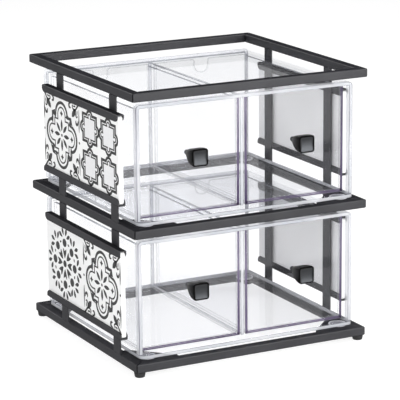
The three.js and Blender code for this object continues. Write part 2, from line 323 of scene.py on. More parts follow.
class Graph:
    """The nodes of a material or of the world. Inputs are given as sockets or as values."""

    def __init__(self, owner):
        owner.use_nodes = True
        self.tree = owner.node_tree
        self.tree.nodes.clear()

    def fill(self, node, inputs):
        for key, value in inputs.items():
            if isinstance(value, bpy.types.NodeSocket):
                self.tree.links.new(value, node.inputs[key])
            else:
                node.inputs[key].default_value = value

    def add(self, kind, inputs):
        node = self.tree.nodes.new(kind)
        self.fill(node, inputs)
        return node.outputs

    def noise(self, scale, detail=2.0, roughness=0.5):
        """Noise in the object's coordinates, so that it keeps its size and rides with the piece."""
        coords = self.add("ShaderNodeTexCoord", {})["Object"]
        return self.add("ShaderNodeTexNoise", {
            "Vector": coords, "Scale": scale, "Detail": detail, "Roughness": roughness,
        })["Fac"]

    def mapped(self, value, low, high, out_low, out_high):
        return self.add("ShaderNodeMapRange", {
            "Value": value, "From Min": low, "From Max": high,
            "To Min": out_low, "To Max": out_high,
        })["Result"]

    def spread(self, noise, low, high):
        """Noise spread over the range between two values."""
        return self.mapped(noise, NOISE_LOW, NOISE_HIGH, low, high)

    def inverse(self, value):
        return self.mapped(value, 0.0, 1.0, 1.0, 0.0)

    def between(self, value, first, second):
        """A colour that goes from the first to the second as value goes from 0 to 1."""
        node = self.tree.nodes.new("ShaderNodeMix")
        node.data_type = "RGBA"
        self.fill(node, {"Factor": value, "A": (*first, 1), "B": (*second, 1)})
        return node.outputs["Result"]

    def math(self, operation, first, second):
        """The result of an operation on two values."""
        node = self.tree.nodes.new("ShaderNodeMath")
        node.operation = operation
        self.fill(node, {0: first, 1: second})
        return node.outputs[0]

    def bump(self, height, strength, distance):
        return self.add("ShaderNodeBump", {
            "Height": height, "Strength": strength, "Distance": distance,
        })["Normal"]

    def facing(self):
        """0 where the surface faces the viewer, 1 where it is seen edge-on."""
        return self.add("ShaderNodeLayerWeight", {"Blend": PLAIN_FACING})["Facing"]

    def any_ray(self, *names):
        """1 for a ray of any of the named kinds."""
        path = self.add("ShaderNodeLightPath", {})
        total = path[names[0]]
        for name in names[1:]:
            total = self.math("MAXIMUM", total, path[name])
        return total

    def principled(self, inputs):
        return self.add("ShaderNodeBsdfPrincipled", inputs)["BSDF"]

    def mix(self, factor, first, second):
        """The first shader where factor is 0, the second where it is 1."""
        return self.add("ShaderNodeMixShader", {"Fac": factor, 1: first, 2: second})["Shader"]


def new_material(name):
    material = bpy.data.materials.new(name)
    return material, Graph(material)


def finished(material, graph, surface):
    graph.add("ShaderNodeOutputMaterial", {"Surface": surface})
    return material


def powder_coat():
    """Black powder coat: fine grain, soft sheen, a little lighter and darker over its length."""
    material, graph = new_material("black_powder_coat")
    grain = graph.noise(2600.0, 3.0, 0.6)
    cloud = graph.spread(graph.noise(22.0), 0.0, 1.0)
    return finished(material, graph, graph.principled({
        "Base Color": graph.between(cloud, (0.024, 0.024, 0.0275), (0.032, 0.032, 0.0365)),
        "Roughness": graph.spread(grain, 0.4, 0.52),
        # The grain breaks up what a smooth coat would mirror at a low angle
        "Specular IOR Level": graph.mapped(graph.facing(), 0.12, 0.72, 0.36, 0.0),
        "Normal": graph.bump(grain, 0.14, 0.3 * MM),
    }))


def rubber():
    material, graph = new_material("black_rubber")
    grain = graph.noise(1800.0, 4.0, 0.7)
    return finished(material, graph, graph.principled({
        "Base Color": graph.between(grain, (0.014, 0.014, 0.015), (0.03, 0.03, 0.031)),
        "Roughness": graph.spread(grain, 0.62, 0.82),
        "Specular IOR Level": 0.3,
        "Normal": graph.bump(grain, 0.2, 0.3 * MM),
    }))


def black_plastic(name, gloss, smooth, rough):
    """Black moulded plastic, with the faint unevenness of a moulded face."""
    material, graph = new_material(name)
    cloud = graph.noise(90.0)
    return finished(material, graph, graph.principled({
        "Base Color": graph.between(cloud, (0.004, 0.004, 0.0045), (0.007, 0.0065, 0.0065)),
        "Roughness": graph.spread(graph.noise(700.0), smooth, rough),
        "Specular IOR Level": gloss,
        "Specular Tint": (0.88, 0.93, 1.0, 1.0),
        "Normal": graph.bump(cloud, 0.06, 0.6 * MM),
    }))


def tile_white():
    """Satin white board under the print, with faint clouding."""
    material, graph = new_material("satin_white_board")
    cloud = graph.noise(35.0, 3.0)
    grain = graph.noise(1500.0)
    return finished(material, graph, graph.principled({
        "Base Color": graph.between(cloud, (0.885, 0.885, 0.89), (0.93, 0.93, 0.93)),
        "Roughness": graph.spread(grain, 0.28, 0.4),
        "Specular IOR Level": 0.4,
        "Normal": graph.bump(grain, 0.05, 0.2 * MM),
    }))


def print_ink(name, dark, light, smooth, rough):
    """Printed ink: its colour varies a little, as a screen print on tile does."""
    material, graph = new_material(name)
    speckle = graph.noise(420.0, 4.0, 0.65)
    colour_share = graph.mapped(speckle, 0.35, NOISE_HIGH, 0.0, 1.0)
    return finished(material, graph, graph.principled({
        "Base Color": graph.between(colour_share, dark, light),
        "Roughness": graph.spread(speckle, smooth, rough),
        "Specular IOR Level": 0.2,
    }))


def clear_face(name, tint, low_tint):
    """The broad face of a clear sheet: at low angles it lets less light through and mirrors more."""
    material, graph = new_material(name)
    grazing = graph.math("POWER", graph.facing(), 5.0)
    # Lamps and soft light reach what is inside the case nearly as if the sheets weren't there
    soft = graph.any_ray("Is Shadow Ray", "Is Diffuse Ray")
    darkened = graph.math("MULTIPLY", grazing, graph.inverse(soft))
    through = graph.add("ShaderNodeBsdfTransparent", {
        "Color": graph.between(darkened, tint, low_tint),
    })["BSDF"]
    mirror = graph.add("ShaderNodeBsdfAnisotropic", {
        "Color": (0.93, 0.935, 0.95, 1),
        "Roughness": graph.spread(graph.noise(14.0), 0.02, 0.05),
    })["BSDF"]
    # Only the face that a ray enters by mirrors, for both faces of the sheet
    leaving = graph.add("ShaderNodeNewGeometry", {})["Backfacing"]
    entering = graph.inverse(graph.math("MAXIMUM", soft, leaving))
    reflected = graph.mapped(grazing, 0.0, 1.0, 0.015, 0.4)
    factor = graph.math("MULTIPLY", reflected, entering)
    return finished(material, graph, graph.mix(factor, through, mirror))


def clear_edge(name, pale, deep, solid):
    """The polished narrow edge of a clear sheet, with the light it gathers painted on as colour: a
    mix of a see-through part and a solid painted one, whose share is given by solid."""
    material, graph = new_material(name)
    through = graph.add("ShaderNodeBsdfTransparent", {"Color": (*pale, 1)})["BSDF"]
    # The solid part is painted light and shade: its colour runs between deep and pale in streaks
    # along the edge
    painted_streaks = graph.mapped(graph.noise(12.0, 1.0), 0.35, 0.65, 0.0, 1.0)
    painted_light = graph.principled({
        "Base Color": graph.between(painted_streaks, deep, pale),
        "Roughness": 0.15,
        "Specular IOR Level": 0.25,
    })
    return finished(material, graph, graph.mix(solid, through, painted_light))


PAINT = powder_coat()
RUBBER = rubber()
KNOB = [
    black_plastic("glossy_black_plastic", 0.46, 0.3, 0.36),
    black_plastic("satin_black_plastic", 0.05, 0.36, 0.44),
    black_plastic("matte_black_plastic", 0.0, 0.5, 0.6),
]
# Indices into that list
KNOB_FACE_MAT, KNOB_SIDE_MAT, KNOB_RIM_MAT = range(3)
BOARD = tile_white()
INK = print_ink("black_print", (0.004, 0.004, 0.0045), (0.011, 0.011, 0.012), 0.36, 0.48)
PALE_INK = print_ink("pale_grey_print", (0.8, 0.8, 0.815), (0.85, 0.85, 0.865), 0.34, 0.46)
CASE_FACE = clear_face("clear_case_sheet", (0.9955, 0.996, 0.9975), (0.845, 0.855, 0.875))
# Painted glow on a case's cut edges, for the light that they gather
CASE_EDGE_PAINTED_GLOW = clear_edge("case_edge_painted_glow", (0.74, 0.745, 0.77), (0.6, 0.62, 0.66), 0.75)
# Paler painted glow behind a case's front edges and on its rear edges
CASE_PAINTED_GLOW = clear_edge("case_sheet_painted_glow", (0.86, 0.87, 0.9), (0.78, 0.79, 0.83), 0.5)
DRAWER_FACE = clear_face("clear_drawer_sheet", (0.996, 0.996, 0.997), (0.845, 0.845, 0.865))
# Dark purple painted shade where a drawer's glued joints show through its front
DRAWER_JOINT_PAINTED_SHADE = clear_edge("drawer_joint_painted_shade", (0.2, 0.165, 0.26), (0.07, 0.05, 0.11), 0.8)
# A clear bumper's outline is painted: grey painted shade on its disc and a pale painted glow round
# its rim
BUMPER_DISC_PAINTED_SHADE = clear_edge("bumper_disc_painted_shade", (0.72, 0.72, 0.76), (0.42, 0.42, 0.47), 0.6)
BUMPER_RIM_PAINTED_GLOW = clear_edge("bumper_rim_painted_glow", (0.92, 0.92, 0.95), (0.84, 0.84, 0.88), 0.9)
# Grey painted shade on the rounded rims of the clear sheets
RIM_PAINTED_SHADE = clear_edge("sheet_rim_painted_shade", (0.5, 0.52, 0.56), (0.16, 0.16, 0.19), 0.7)
# Faint pale painted glow on a drawer's cut edges
PALE_PAINTED_GLOW = clear_edge("drawer_edge_painted_glow", (0.96, 0.96, 0.965), (0.88, 0.88, 0.9), 0.15)
# Indices into the two lists below. In a case's list the last is the painted glow behind its front
# edges and on its rear edges; in a drawer's list it is the pale painted glow on its sheets' edges.
FACE, EDGE, RIM, PALE = range(4)
CASE = [CASE_FACE, CASE_EDGE_PAINTED_GLOW, RIM_PAINTED_SHADE, CASE_PAINTED_GLOW]
DRAWER = [DRAWER_FACE, DRAWER_JOINT_PAINTED_SHADE, RIM_PAINTED_SHADE, PALE_PAINTED_GLOW]


# Stand

TUBE_WIDTH = 14 * MM
TUBE_CORNER = 1.5 * MM
# How deep the groove at a mitre is, and half its width at the surface and at the bottom
MITRE_GROOVE = 2.0 * MM
MITRE_GAP = 1.1 * MM
MITRE_BOTTOM_GAP = MITRE_GAP / 8
GUSSET_LEG = 56 * MM
GUSSET_TIP = 5 * MM
GUSSET_SHEET = 3 * MM
GUSSET_RIM = 0.4 * MM
BAR_RIM = 0.5 * MM
WELD_RADIUS = 1.3 * MM
WELD_SIDES = 10
# Length of a ripple, its height as a share of the bead's radius, and the sections drawn of it
WELD_RIPPLE = 1.6 * MM
WELD_SWELL = 0.14
RIPPLE_STEPS = 4
# A bead's radius at its ends, as a share of its full radius
WELD_TIP = 0.25
# Height of a bead's middle above the end of an upright
WELD_LIFT = 0.4 * WELD_RADIUS


def ring_sides(low, high):
    """For each side of a ring: middle, direction along it, direction outwards, half-length, reach."""
    middle = (low + high) / 2
    half_x = (high.x - low.x) / 2
    half_y = (high.y - low.y) / 2
    return [
        (middle, Vector((1, 0, 0)), Vector((0, -1, 0)), half_x, half_y),
        (middle, Vector((0, 1, 0)), Vector((1, 0, 0)), half_y, half_x),
        (middle, Vector((-1, 0, 0)), Vector((0, 1, 0)), half_x, half_y),
        (middle, Vector((0, -1, 0)), Vector((-1, 0, 0)), half_y, half_x),
    ]


def tube_bar(low, high, side):
    """One side of a ring, mitred at both ends, with a fine groove left where it meets the next."""
    middle, along, out, half_length, reach = side
    section = rounded_box(0, TUBE_WIDTH, low.z, high.z, TUBE_CORNER, 4)
    surface = (section, MITRE_GAP)
    bottom = (offset(section, MITRE_GROOVE), MITRE_BOTTOM_GAP)
    loops = []
    for end, outlines in ((-1, (bottom, surface)), (1, (surface, bottom))):
        for outline, gap in outlines:
            loop = []
            for across, z in outline:
                point = (middle + along * end * (half_length - across - gap)
                         + out * (reach - across))
                loop.append((point.x, point.y, z))
            loops.append(loop)
    return loft(loops)


def inner_corner(low, high, side, end):
    """Where the inner faces of two sides of a ring meet."""
    x = (high.x if side > 0 else low.x) - side * TUBE_WIDTH
    y = (high.y if end > 0 else low.y) - end * TUBE_WIDTH
    return x, y


def gusset(low, high, side, end):
    """Triangular plate in a corner, flush with the ring's top, its tips cut square."""
    corner_x, corner_y = inner_corner(low, high, side, end)
    leg, tip = GUSSET_LEG, GUSSET_TIP
    outline = [(0, 0), (leg, 0), (leg, tip), (tip, leg), (0, leg)]
    points = [(corner_x - side * u, corner_y - end * v) for u, v in outline]
    if side * end < 0:
        points.reverse()
    return slab(points, high.z - GUSSET_SHEET, high.z, GUSSET_RIM)


def weld_bead(start, end):
    """Low rippled bead between two points."""
    start, end = Vector(start), Vector(end)
    direction = (end - start).normalized()
    side = direction.orthogonal().normalized()
    up = direction.cross(side)
    length = (end - start).length
    count = int(length / (WELD_RIPPLE / RIPPLE_STEPS))
    loops = []
    for i in range(count + 1):
        t = i / count
        ripple = 1 + WELD_SWELL * math.cos(2 * math.pi * t * length / WELD_RIPPLE)
        taper = min(1.0, WELD_TIP + min(t, 1 - t) * length / WELD_RADIUS)
        centre = start + direction * length * t
        section = circle(0, 0, WELD_RADIUS * ripple * taper, WELD_SIDES)
        loops.append([tuple(centre + side * x + up * y) for x, y in section])
    return loft(loops)


def gusset_welds(low, high, side, end):
    """Beads under a gusset, along both of its legs."""
    x, y = inner_corner(low, high, side, end)
    z = high.z - GUSSET_SHEET
    return [
        weld_bead((x - side * GUSSET_LEG, y, z), (x, y, z)),
        weld_bead((x, y - end * GUSSET_LEG, z), (x, y, z)),
    ]


def make_ring(name):
    node = f"{name}_ring"
    low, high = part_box(node)
    bars = [tube_bar(low, high, side) for side in ring_sides(low, high)]
    piece(f"{name}_ring_tubes", bars, [PAINT], node)
    if name == "top":
        return
    corners = [(side, end) for side in (-1, 1) for end in (-1, 1)]
    gussets = [gusset(low, high, *corner) for corner in corners]
    beads = [bead for corner in corners for bead in gusset_welds(low, high, *corner)]
    piece(f"{name}_ring_gussets", gussets, [PAINT], node, main=False)
    piece(f"{name}_ring_gusset_welds", beads, [PAINT], node, main=False)


def make_upright(node):
    low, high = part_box(node)
    outline = box(low.y, high.y, low.z, high.z)
    bar = slab(outline, low.x, high.x, BAR_RIM).placed(along_x)
    piece(f"{node}_bar", [bar], [PAINT], node)
    inner = high.x if high.x < 0 else low.x
    beads = [weld_bead((inner, low.y, z), (inner, high.y, z))
             for z in (low.z + WELD_LIFT, high.z - WELD_LIFT)]
    piece(f"{node}_welds", beads, [PAINT], node, main=False)


FOOT_TAPER = 1 * MM
FOOT_ROUND = 1.2 * MM
FOOT_DISH = 0.6 * MM
# Where the hollow underneath is at its full depth, and where it ends, as shares of the radius
FOOT_DISH_FLAT = 0.45
FOOT_DISH_REACH = 0.55
# Angle at which the round lower edge runs into the tapered side
FOOT_SIDE_DEGREES = 8


def make_foot(node):
    low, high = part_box(node)
    r = (high.x - low.x) / 2
    height = high.z - low.z
    foot_r = r - FOOT_TAPER
    lower, upper = FOOT_ROUND, FOOT_ROUND / 2
    profile = [(0, FOOT_DISH), (foot_r * FOOT_DISH_FLAT, FOOT_DISH), (foot_r * FOOT_DISH_REACH, 0)]
    profile += arc(foot_r - lower, lower, lower, -90, -FOOT_SIDE_DEGREES, 5)
    profile += arc(r - upper, height - upper, upper, 0, 90, 3)
    profile.append((0, height))
    middle = (low + high) / 2
    part = lathe(profile).placed(moved(middle.x, middle.y, low.z))
    piece(f"{node}_moulding", [part], [RUBBER], node)


# Panel holders

CHANNEL_SHEET = 2 * MM
CHANNEL_BEND = 1.4 * MM
CHANNEL_INNER_BEND = 0.4 * MM
CHANNEL_LIP_RADIUS = 7 * MM
CHANNEL_RIM = 0.35 * MM
LIP_STEPS = 10


def channel_section(width, lip):
    """U section with its web at the bottom, from one lip's top round to the other's."""
    t, rim = CHANNEL_SHEET, CHANNEL_RIM
    outer, inner = CHANNEL_BEND, CHANNEL_INNER_BEND
    half = width / 2
    gap = half - t
    return (
        arc(-half + outer, outer, outer, 180, 270, 4)
        + arc(half - outer, outer, outer, 270, 360, 4)
        + arc(half - rim, lip - rim, rim, 0, 90, 2)
        + arc(gap + rim, lip - rim, rim, 90, 180, 2)
        + arc(gap - inner, t + inner, inner, 0, -90, 2)
        + arc(-gap + inner, t + inner, inner, -90, -180, 2)
        + arc(-gap - rim, lip - rim, rim, 0, 90, 2)
        + arc(-half + rim, lip - rim, rim, 90, 180, 2)
    )


def make_channel(node, flipped):
    """Folded channel whose lips end in round corners."""
    low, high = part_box(node)
    width = high.x - low.x
    height = high.z - low.z
    middle_x = (low.x + high.x) / 2

    def row(y, lip, inset=0.0):
        section = channel_section(width, lip)
        if inset > 0:
            section = offset(section, inset)
        if flipped:
            return [(middle_x - x, y, high.z - z) for x, z in section]
        return [(middle_x + x, y, low.z + z) for x, z in section]

    # Distances from an end of the channel, each with the height of the lips there
    r, rim = CHANNEL_LIP_RADIUS, CHANNEL_RIM
    stations = []
    for i in range(LIP_STEPS + 1):
        angle = math.pi / 2 * i / LIP_STEPS
        stations.append((max(r * (1 - math.cos(angle)), rim), height - r + r * math.sin(angle)))
    end_lip = height - r
    loops = [row(low.y, end_lip, rim)]
    loops += [row(low.y + distance, lip) for distance, lip in stations]
    loops += [row(high.y - distance, lip) for distance, lip in stations[::-1]]
    loops.append(row(high.y, end_lip, rim))
    piece(f"{node}_folded", [loft(loops)], [PAINT], node)


# Tile panels and their print. The designs are drawn from the middle of a tile 120 units square.

PANEL_CORNER = 4 * MM
PANEL_RIM = 0.8 * MM
INK_HEIGHT = 0.1 * MM
PALE_INK_HEIGHT = 0.05 * MM
INK_SINK = 0.02 * MM
# Size of a unit of the designs on the board, along it and up it
PRINT_SCALE_Y = 1.0375 * MM
PRINT_SCALE_Z = 0.9646 * MM
THICK_LINE = 4.4
THIN_LINE = 2.3
# Half-width of a leaf's tips
LEAF_TIP = 0.12
# Below 1, a leaf is fuller than a sine curve
LEAF_POWER = 0.85


def band(loop, width):
    """A closed line of some width, as an outline and the hole in it."""
    return offset(loop, -width / 2), offset(loop, width / 2)[::-1]


def stroke(points, width_at):
    """Open line through points, whose half-width at each is given by width_at from 0 to 1."""
    left, right = [], []
    last = len(points) - 1
    for i, (x, y) in enumerate(points):
        before = Vector(points[max(i - 1, 0)])
        after = Vector(points[min(i + 1, last)])
        along = (after - before).normalized()
        half = width_at(i / last)
        left.append((x - along.y * half, y + along.x * half))
        right.append((x + along.y * half, y - along.x * half))
    return right + left[::-1]


def leaf(start, end, width, fullest=0.5, steps=12):
    """Pointed leaf between two points, widest at the share named fullest."""
    start, end = Vector(start), Vector(end)
    points = [tuple(start.lerp(end, i / steps)) for i in range(steps + 1)]

    def half(t):
        u = t / fullest / 2 if t < fullest else 0.5 + (t - fullest) / (1 - fullest) / 2
        return max(LEAF_TIP, width / 2 * math.sin(math.pi * u) ** LEAF_POWER)

    return stroke(points, half)


def curve(start, control, end, steps=8):
    """Points on a curve that leaves start and reaches end by way of a control point."""
    a, b, c = Vector(start), Vector(control), Vector(end)
    shares = [i / steps for i in range(steps + 1)]
    return [tuple(a.lerp(b, t).lerp(b.lerp(c, t), t)) for t in shares]


def mirrored(points):
    """The same outline on the other side of the diagonal, turned to stay counter-clockwise."""
    return [(y, x) for x, y in points][::-1]


def star(cx, cy, reach_x, reach_y, waist):
    """Four-pointed star with hollow sides."""
    tips = [(reach_x, 0), (0, reach_y), (-reach_x, 0), (0, -reach_y)]
    points = []
    for i, tip in enumerate(tips):
        after = tips[(i + 1) % 4]
        control = ((tip[0] + after[0]) * waist, (tip[1] + after[1]) * waist)
        points += curve(tip, control, after, 5)[:-1]
    return [(cx + x, cy + y) for x, y in points]


def quatrefoil(centre, radius, step):
    """Four round lobes joined by square steps."""
    lobe = arc(centre, 0, radius, -90, 90, 16)
    return four_times(lobe + [(step, radius), (step, step), (radius, step)])


def quatrefoil_tile():
    """Stepped quatrefoil round an eight-petalled flower, with a lily in each corner."""
    shapes = [
        band(quatrefoil(29.1, 18.8, 29.1), THICK_LINE),
        band(quatrefoil(29.1, 11.9, 22.3), THIN_LINE),
    ]
    for i in range(8):
        shapes.append((turned(leaf((6.2, 0), (23.4, 0), 5.9), 45 * i), None))
    shapes.append((circle(0, 0, 2.2, 16), None))
    for i in range(4):
        x, y = turned([(32.2, 0)], 90 * i)[0]
        shapes.append((star(x, y, 5.2, 4.9, 0.24), None))
        shapes.append((turned(circle(56.3, 0, 1.9, 12), 90 * i), None))
        for outline in corner_lily():
            shapes.append((turned(outline, 90 * i), None))
    return shapes


def corner_lily():
    """Lily on a stem out of the tile's corner. Beside it on each side are a curl, a comma, a bar
    along the tile's edge and a small leaf."""
    stem = stroke([(57.5, 57.5), (52, 52), (46.5, 46.5)], lambda t: 1.9 - 0.5 * t)
    petal = leaf((48.5, 48.5), (34.2, 34.2), 8.4, 0.62)
    curl = (curve((47, 46.2), (39, 44.5), (36.2, 48.6))
            + curve((36.2, 48.6), (35.4, 51.4), (38.2, 52))[1:])
    comma = (curve((31.6, 53.6), (24.4, 53.4), (25.6, 48.6))
             + curve((25.6, 48.6), (27, 45.8), (31, 47.0))[1:])
    bar = [(x, 56.6) for x in (15, 23, 31, 39, 48)]
    halves = [
        stroke(curl, lambda t: 1.7 - 1.0 * t),
        stroke(comma, lambda t: 0.7 + 1.5 * math.sin(math.pi * t)),
        stroke(bar, lambda t: 0.3 + 1.2 * math.sin(math.pi * t ** 0.8)),
        leaf((51.4, 46.6), (50.2, 37.6), 2.6, 0.4),
    ]
    return [stem, petal, *halves, *[mirrored(half) for half in halves]]


def medallion(half, radius, centre):
    """Square with a round lobe in the middle of each side."""
    foot = math.degrees(math.acos((half - centre) / radius))
    return four_times(arc(centre, 0, radius, -foot, foot, 12) + [(half, half)])


def medallion_tile():
    """Two by two medallions with double outlines, their lobes touching."""
    squash = 0.928
    pitch_x, pitch_y = 28.4, 27.4
    outer, inner = medallion(20.9, 8.2, 19.3), medallion(16.3, 3.9, 18.6)
    shapes, fills = [], []
    for sx in (-1, 1):
        for sy in (-1, 1):
            def put(loop):
                return [(x + sx * pitch_x, y * squash + sy * pitch_y) for x, y in loop]
            for loop, width in ((outer, THICK_LINE), (inner, THIN_LINE)):
                shapes.append([put(line) for line in band(loop, width)])
            fills.append((put(offset(inner, THIN_LINE / 2)), None))
    return shapes, fills


def mandala_tile():
    """Rings of petals, discs, seeds and fans of leaves round a disc."""
    shapes = [(circle(0, 0, 5.2, 20), None)]
    for i in range(8):
        petal = (curve((8.2, 0), (15, -5.8), (23.4, -5.2), 6) + [(19.4, 0)]
                 + curve((23.4, 5.2), (15, 5.8), (8.2, 0), 6))[:-1]
        shapes.append((turned(petal, 45 * i), None))
        shapes.append((turned(circle(31.8, 0, 6.3, 20), 45 * i), None))
        shapes.append((turned(leaf((33.4, -2.8), (33.4, 2.8), 3.2), 45 * i + 22.5), None))
        for sign in (-1, 1):
            for start, end in (((42.6, 2.9), (53.8, 7.4)), ((39.4, 6.6), (45.4, 17.6))):
                fan_leaf = leaf((start[0], start[1] * sign), (end[0], end[1] * sign), 5.8, 0.62)
                shapes.append((turned(fan_leaf, 45 * i), None))
    return shapes


def panel_prints(tier):
    """The designs on a panel of that tier, from the rear tile to the front one.

    Each is a list of black shapes and a list of pale ones, a shape being an outline and a hole.
    """
    if tier == "upper":
        return (quatrefoil_tile(), []), medallion_tile()
    return (mandala_tile(), []), (quatrefoil_tile(), [])


def make_panel(tier, side):
    node = f"{tier}_{side}_tile_panel"
    low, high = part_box(node)
    outline = rounded_box(low.y, high.y, low.z, high.z, PANEL_CORNER, 6)
    board = slab(outline, low.x, high.x, PANEL_RIM, steps=4).placed(along_x)
    piece(f"{node}_board", [board], [BOARD], node)

    sign = SIGN[side]
    face = high.x if sign > 0 else low.x
    middle_z = (low.z + high.z) / 2
    quarter = (high.y - low.y) / 4
    middle_y = (low.y + high.y) / 2
    ink, pale = [], []
    for place, (shapes, fills) in zip((1, -1), panel_prints(tier)):
        centre_y = middle_y + place * quarter

        def on_face(u, v, w):
            y = centre_y + sign * u * PRINT_SCALE_Y
            return (face + sign * w, y, middle_z + v * PRINT_SCALE_Z)

        for target, group, height in ((ink, shapes, INK_HEIGHT), (pale, fills, PALE_INK_HEIGHT)):
            for outer, hole in group:
                holes = (hole,) if hole else ()
                target.append(slab(outer, -INK_SINK, height, holes=holes).placed(on_face))
    name = f"{tier}_{side}_panel"
    piece(f"{name}_print", ink, [INK], node, main=False, smooth=False)
    if pale:
        piece(f"{name}_pale_print", pale, [PALE_INK], node, main=False, smooth=False)


# Cases

CASE_SHEET = 5 * MM
CASE_BEND = 6 * MM
CASE_RIM = 0.6 * MM
# How far the painted glow, for light gathered in the front edge, reaches into the sheet behind it
PAINTED_GLOW_REACH = 9 * MM
FLOOR_CORNER = 8 * MM
BACK_CORNER = 1 * MM
BUMPER_RADIUS = 13 * MM
BUMPER_INSET = 2.6 * MM
BUMPER_HEIGHT = 2 * MM
BUMPER_ROUND = 0.8 * MM
BUMPER_BORDER = 2.2 * MM
BOND_GAP = 0.02 * MM


def clear_sheet(outline, low, high, rim, side_mat, **more):
    return slab(outline, low, high, rim, cap_mat=FACE, side_mat=side_mat, edge_mat=RIM, **more)


def paler_rear(sheet, rear):
    """A sheet's rear edges get the paler, more see-through painted glow: the light that the front
    edges gather hardly reaches them.
    """
    sheet.change(EDGE, PALE, lambda x, y, z: y > rear - CASE_RIM)


def make_shell(tier):
    """One sheet bent over both sides and the top."""
    node = f"{tier}_case_shell"
    low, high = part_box(node)
    r, t = CASE_BEND, CASE_SHEET
    inner_r = r - t
    x0, x1, z0, z1 = low.x, high.x, low.z, high.z
    outline = (
        [(x1, z0)]
        + arc(x1 - r, z1 - r, r, 0, 90, 10)
        + arc(x0 + r, z1 - r, r, 90, 180, 10)
        + [(x0, z0), (x0 + t, z0)]
        + arc(x0 + r, z1 - r, inner_r, 180, 90, 5)
        + arc(x1 - r, z1 - r, inner_r, 90, 0, 5)
        + [(x1 - t, z0)]
    )
    # The sheet's broad faces are the walls of the outline, and its cut edges are the caps
    # A strip of painted glow runs along the walls just behind the front edge
    sheet = slab(outline, low.y, high.y, CASE_RIM, cap_mat=EDGE, side_mat=FACE, edge_mat=RIM,
                 strip=PAINTED_GLOW_REACH, strip_mat=PALE).placed(along_y)
    paler_rear(sheet, high.y)
    piece(f"{tier}_case_bent_sheet", [sheet], CASE, node)


def make_case_floor(tier):
    """Floor sheet and the four bumpers bonded under it."""
    node = f"{tier}_case_floor"
    low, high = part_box(node)
    outline = rounded_box(low.x, high.x, low.y, high.y, FLOOR_CORNER, 8)
    sheet = clear_sheet(outline, low.z + BUMPER_HEIGHT, high.z - BOND_GAP, CASE_RIM, EDGE)
    piece(f"{tier}_case_floor_sheet", [sheet], CASE, node)
    r = BUMPER_RADIUS
    top = BUMPER_HEIGHT - BOND_GAP
    profile = [(0, 0), (r - BUMPER_BORDER, 0)]
    profile += arc(r - BUMPER_ROUND, BUMPER_ROUND, BUMPER_ROUND, -90, 0, 4)
    profile += [(r, top), (r - BUMPER_BORDER, top), (0, top)]
    inset = r + BUMPER_INSET
    discs = []
    for x in (low.x + inset, high.x - inset):
        for y in (low.y + inset, high.y - inset):
            disc = lathe(profile).placed(moved(x, y, low.z))
            # The triangles round the axis are the disc, in grey painted shade, and all else is the
            # rim, in pale painted glow
            disc.mats = [int(len(face) == 4) for face in disc.faces]
            discs.append(disc)
    materials = [BUMPER_DISC_PAINTED_SHADE, BUMPER_RIM_PAINTED_GLOW]
    piece(f"{tier}_case_bumpers", discs, materials, node, main=False)


def make_back(tier):
    node = f"{tier}_case_back"
    low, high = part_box(node)
    r = BACK_CORNER
    outline = [(low.x, low.z), (high.x, low.z)]
    outline += arc(high.x - r, high.z - r, r, 0, 90, 3)
    outline += arc(low.x + r, high.z - r, r, 90, 180, 3)
    sheet = clear_sheet(offset(outline, BOND_GAP), low.y, high.y, CASE_RIM, PALE)
    piece(f"{tier}_case_back_sheet", [sheet.placed(along_y)], CASE, node)


def make_divider(tier):
    node = f"{tier}_case_divider"
    low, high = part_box(node)
    outline = offset(box(low.y, high.y, low.z, high.z), BOND_GAP)
    sheet = clear_sheet(outline, low.x, high.x, CASE_RIM, EDGE).placed(along_x)
    paler_rear(sheet, high.y)
    piece(f"{tier}_case_divider_sheet", [sheet], CASE, node)


# Drawers

DRAWER_RIM = 0.3 * MM
# Width of the dark band of painted shade round a drawer's front, where the glued joints lie behind it
JOINT_SHADE_BAND = 3.8 * MM
# The sides stand this much lower than the front and the back
SIDE_DROP = 2 * MM
FRONT_CORNER = 1.5 * MM
NOTCH_WIDTH = 22 * MM
NOTCH_DEPTH = 20 * MM
NOTCH_LIP = 3 * MM
SCREW_HOLE = 2.25 * MM


def knob_middle(place):
    low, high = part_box(f"{place}_knob")
    return (low.x + high.x) / 2, (low.z + high.z) / 2


def make_drawer_front(place):
    node = f"{place}_drawer_front"
    low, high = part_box(node)
    outline = rounded_box(low.x, high.x, low.z, high.z, FRONT_CORNER, 4)
    hole = circle(*knob_middle(place), SCREW_HOLE, 20)[::-1]
    # A band of painted shade runs round the front face, over the joints with the sides and floor
    sheet = clear_sheet(outline, low.y, high.y, DRAWER_RIM, PALE, holes=(hole,),
                        band=JOINT_SHADE_BAND, band_mat=EDGE).placed(along_y)
    # The top edge has no joint behind it, so no painted shade
    sheet.change(EDGE, FACE, lambda x, y, z: z > high.z - 2 * JOINT_SHADE_BAND)
    piece(f"{node}_sheet", [sheet], DRAWER, node)


def make_drawer_back(place):
    """Back sheet with a U-shaped finger notch."""
    node = f"{place}_drawer_back"
    low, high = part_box(node)
    middle = (low.x + high.x) / 2
    r, lip, top = NOTCH_WIDTH / 2, NOTCH_LIP, high.z
    outline = [(low.x, low.z), (high.x, low.z), (high.x, top)]
    outline += arc(middle + r + lip, top - lip, lip, 90, 180, 5)
    outline += arc(middle, top - NOTCH_DEPTH + r, r, 0, -180, 16)
    outline += arc(middle - r - lip, top - lip, lip, 0, 90, 5)
    outline.append((low.x, top))
    sheet = clear_sheet(outline, low.y, high.y, DRAWER_RIM, PALE).placed(along_y)
    piece(f"{node}_sheet", [sheet], DRAWER, node)


